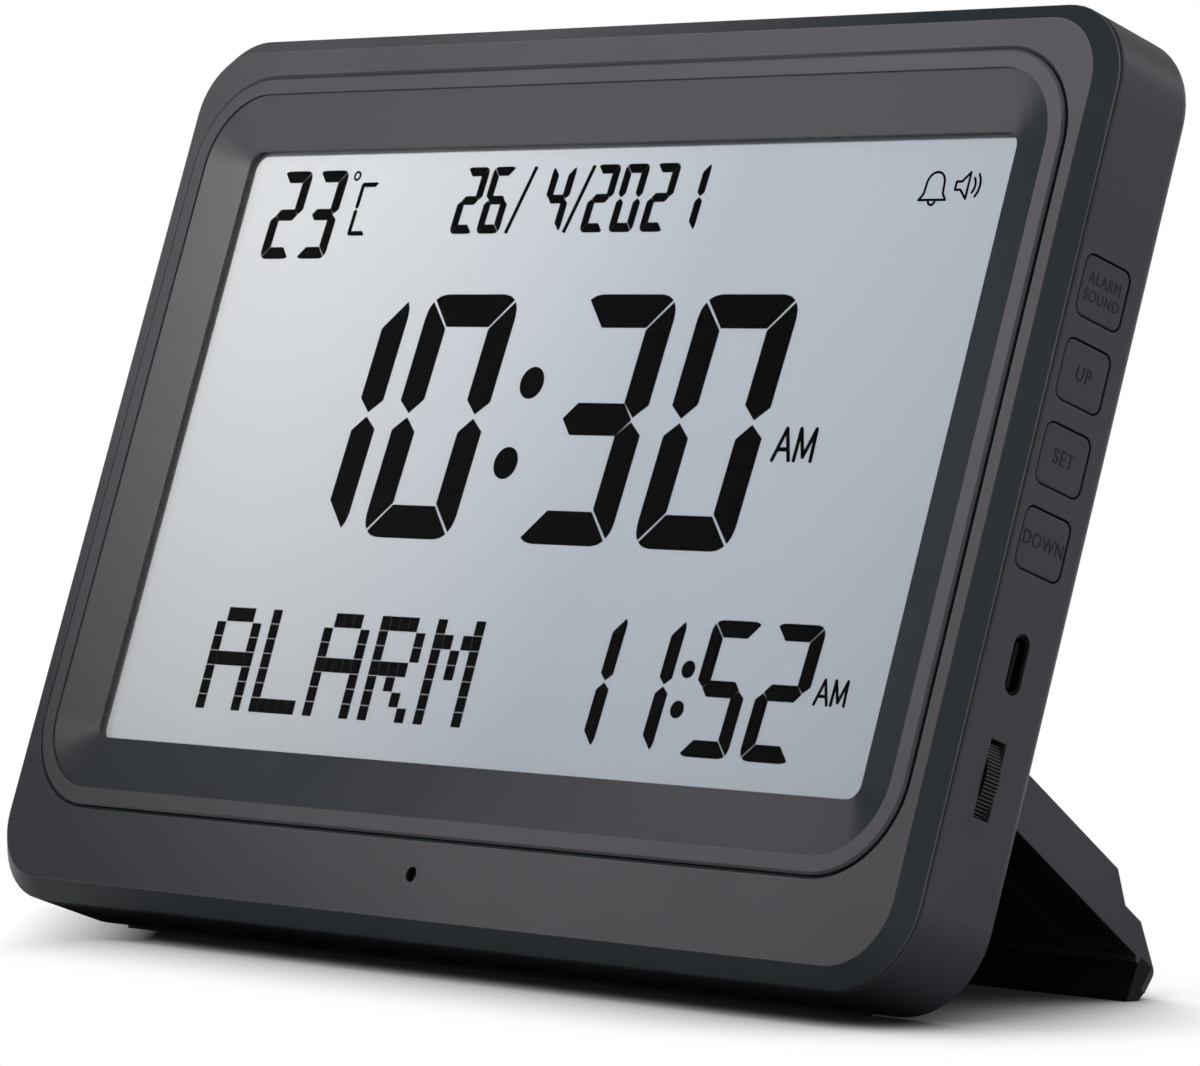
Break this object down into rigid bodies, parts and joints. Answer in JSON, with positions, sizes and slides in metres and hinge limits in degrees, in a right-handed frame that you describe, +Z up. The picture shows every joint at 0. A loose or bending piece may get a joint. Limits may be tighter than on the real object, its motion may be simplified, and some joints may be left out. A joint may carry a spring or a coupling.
{
  "type": "digital desk clock",
  "caption": "Slim digital desk clock with a wide LCD in a sloped bezel, side keys, a thumb wheel for volume, a USB-C inlet and a fold-out stand leg behind.",
  "frame": {"origin": "on the surface the clock stands on, under the middle of its bounding box", "axes": "+X to the right seen from the front, +Y from the display to the back, +Z up; the face leans back 18 degrees on its stand leg"},
  "size_m": [0.2072, 0.0682, 0.1459],
  "materials": {
    "case_plastic": "moulded, fine satin texture",
    "housing_plastic": "moulded, fine satin texture",
    "bezel_plastic": "moulded, fine satin texture",
    "button_plastic": "moulded, satin",
    "wheel_plastic": "moulded, knurled rim",
    "leg_plastic": "moulded, fine satin texture",
    "lens_clear": "clear acrylic, hard coat",
    "lcd_glass": "grey reflective LCD",
    "lcd_ink": "switched-on LCD segments",
    "gasket_foam": "closed-cell foam",
    "guide_acrylic": "polished acrylic with dot print",
    "reflector_film": "white film",
    "led_bar_board": "white solder mask with small lamps",
    "holder_plastic": "moulded, plain",
    "connector_rubber": "layered conductive rubber",
    "board_laminate": "glass laminate with solder mask",
    "chip_black": "moulded epoxy",
    "capacitor_can": "drawn can",
    "cable_film": "flat polyester cable",
    "sensor_epoxy": "tinted epoxy dome",
    "bead_epoxy": "dipped bead",
    "screw_steel": "zinc plated",
    "socket_steel": "drawn steel shell",
    "contact_steel": "nickel plated spring steel",
    "pin_steel": "ground pin",
    "switch_black": "moulded body with steel cover",
    "pot_grey": "moulded body with metal shaft",
    "cell_jacket": "plain printed jacket with bare ends",
    "magnet_ferrite": "ferrite ring in a plated cup",
    "basket_steel": "pressed steel",
    "cone_paper": "pressed paper cone",
    "foot_rubber": "moulded rubber"
  },
  "bodies": {
    "case": {"front_cover": "case_plastic", "display_bezel": "bezel_plastic", "display_lens": "lens_clear", "display_gasket": "gasket_foam", "lcd_panel": "lcd_glass", "light_guide": "guide_acrylic", "reflector_sheet": "reflector_film", "backlight_led_bar": "led_bar_board", "connector_strip": "connector_rubber", "display_holder": "holder_plastic", "holder_screws": "screw_steel", "lcd_segments": "lcd_ink", "rear_housing": "housing_plastic", "housing_screws": "screw_steel", "tact_switches": "switch_black", "usb_socket": "socket_steel", "volume_pot": "pot_grey", "control_board": "board_laminate", "control_board_screws": "screw_steel", "main_board": "board_laminate", "main_board_screws": "screw_steel", "main_board_chips": "chip_black", "main_board_capacitors": "capacitor_can", "board_link_cable": "cable_film", "light_sensor": "sensor_epoxy", "light_sensor_board": "board_laminate", "temperature_sensor": "bead_epoxy", "speaker_basket": "basket_steel", "speaker_magnet": "magnet_ferrite", "speaker_cone": "cone_paper", "battery_cells": "cell_jacket", "battery_springs": "contact_steel", "battery_plates": "contact_steel", "case_foot_strip": "foot_rubber"},
    "alarm_sound_button": {"alarm_sound_button": "button_plastic"},
    "up_button": {"up_button": "button_plastic"},
    "set_button": {"set_button": "button_plastic"},
    "down_button": {"down_button": "button_plastic"},
    "volume_wheel": {"volume_wheel": "wheel_plastic"},
    "stand_leg": {"stand_leg": "leg_plastic", "leg_foot_strip": "foot_rubber", "leg_hinge_pins": "pin_steel"},
    "battery_door": {"battery_door": "housing_plastic"}
  },
  "joints": [
    {"name": "alarm_sound_press", "type": "slide", "parent": "case", "child": "alarm_sound_button", "axis": [-1, 0, 0], "range_m": [0, 0.0007], "stiffness_N_per_m": 700, "springref_m": -0.0008},
    {"name": "up_press", "type": "slide", "parent": "case", "child": "up_button", "axis": [-1, 0, 0], "range_m": [0, 0.0007], "stiffness_N_per_m": 700, "springref_m": -0.0008},
    {"name": "set_press", "type": "slide", "parent": "case", "child": "set_button", "axis": [-1, 0, 0], "range_m": [0, 0.0007], "stiffness_N_per_m": 700, "springref_m": -0.0008},
    {"name": "down_press", "type": "slide", "parent": "case", "child": "down_button", "axis": [-1, 0, 0], "range_m": [0, 0.0007], "stiffness_N_per_m": 700, "springref_m": -0.0008},
    {"name": "volume_turn", "type": "hinge", "parent": "case", "child": "volume_wheel", "pos_m": [0.0946, -0.0149, 0.0346], "axis": [0, 0.9511, -0.309], "range_deg": [-140, 140]},
    {"name": "leg_fold", "type": "hinge", "parent": "case", "child": "stand_leg", "pos_m": [-0.0003, -0.00411, 0.03692], "axis": [1, 0, 0], "range_deg": [0, 108.42]},
    {"name": "door_unclip", "type": "slide", "parent": "case", "child": "battery_door", "axis": [0, 0.9511, -0.309], "range_m": [0, 0.018]}
  ]
}
